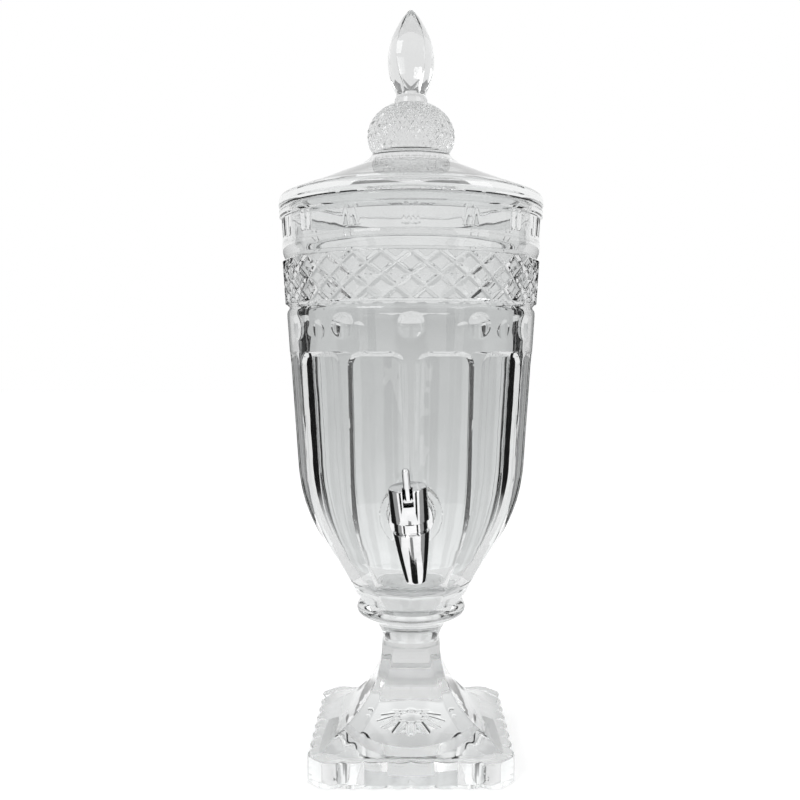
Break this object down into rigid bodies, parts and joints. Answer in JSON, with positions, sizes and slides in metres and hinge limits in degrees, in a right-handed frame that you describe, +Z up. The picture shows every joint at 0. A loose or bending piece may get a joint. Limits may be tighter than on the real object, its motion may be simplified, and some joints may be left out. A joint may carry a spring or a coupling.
{
  "type": "glass beverage dispenser",
  "caption": "Footed pressed-glass drink dispenser: a lidded urn with fluted and diamond-cut walls on a square pedestal, drained by a chromed lever tap.",
  "frame": {"origin": "centre of the resting face under the square base", "axes": "+Z up, -Y towards the tap, +X to the right of a person facing the tap"},
  "size_m": [0.1856, 0.2055, 0.5187],
  "materials": {
    "clear_glass": "clear pressed glass, polished",
    "bright_chrome": "bright plating over a moulded body",
    "steel": "plain stainless",
    "pale_rubber": "translucent pale silicone",
    "pale_plastic": "moulded, satin",
    "dark_rubber": "black seal rubber"
  },
  "bodies": {
    "dispenser": {"vessel": "clear_glass", "pedestal": "clear_glass", "tap_body": "bright_chrome", "tap_cap": "bright_chrome", "lever_pin": "steel", "stem_gland": "pale_plastic", "stem_oring": "dark_rubber", "cap_seal": "dark_rubber", "outer_gasket": "pale_rubber", "inner_gasket": "pale_rubber", "inner_washer": "pale_plastic", "shank_nut": "steel", "valve_spring": "steel"},
    "lid": {"lid": "clear_glass"},
    "lever": {"tap_lever": "bright_chrome"},
    "stem": {"valve_stem": "steel", "valve_seal": "pale_rubber"}
  },
  "joints": [
    {"name": "lid_lift", "type": "slide", "parent": "dispenser", "child": "lid", "axis": [0, 0, 1], "range_m": [0, 0.2]},
    {"name": "lever_press", "type": "hinge", "parent": "dispenser", "child": "lever", "pos_m": [-0.00157, -0.10502, 0.18864], "axis": [0.9962, -0.0121, 0.0863], "range_deg": [0, 41], "stiffness_Nm_per_rad": 0.03, "springref_deg": -20.05},
    {"name": "stem_lift", "type": "slide", "parent": "dispenser", "child": "stem", "axis": [-0.0872, -0.1386, 0.9865], "range_m": [0, 0.00432], "deforming": ["valve_spring"]}
  ],
  "couplings": [
    {"joint": "stem_lift", "follows": "lever_press", "m_per_rad": 0.005873}
  ]
}
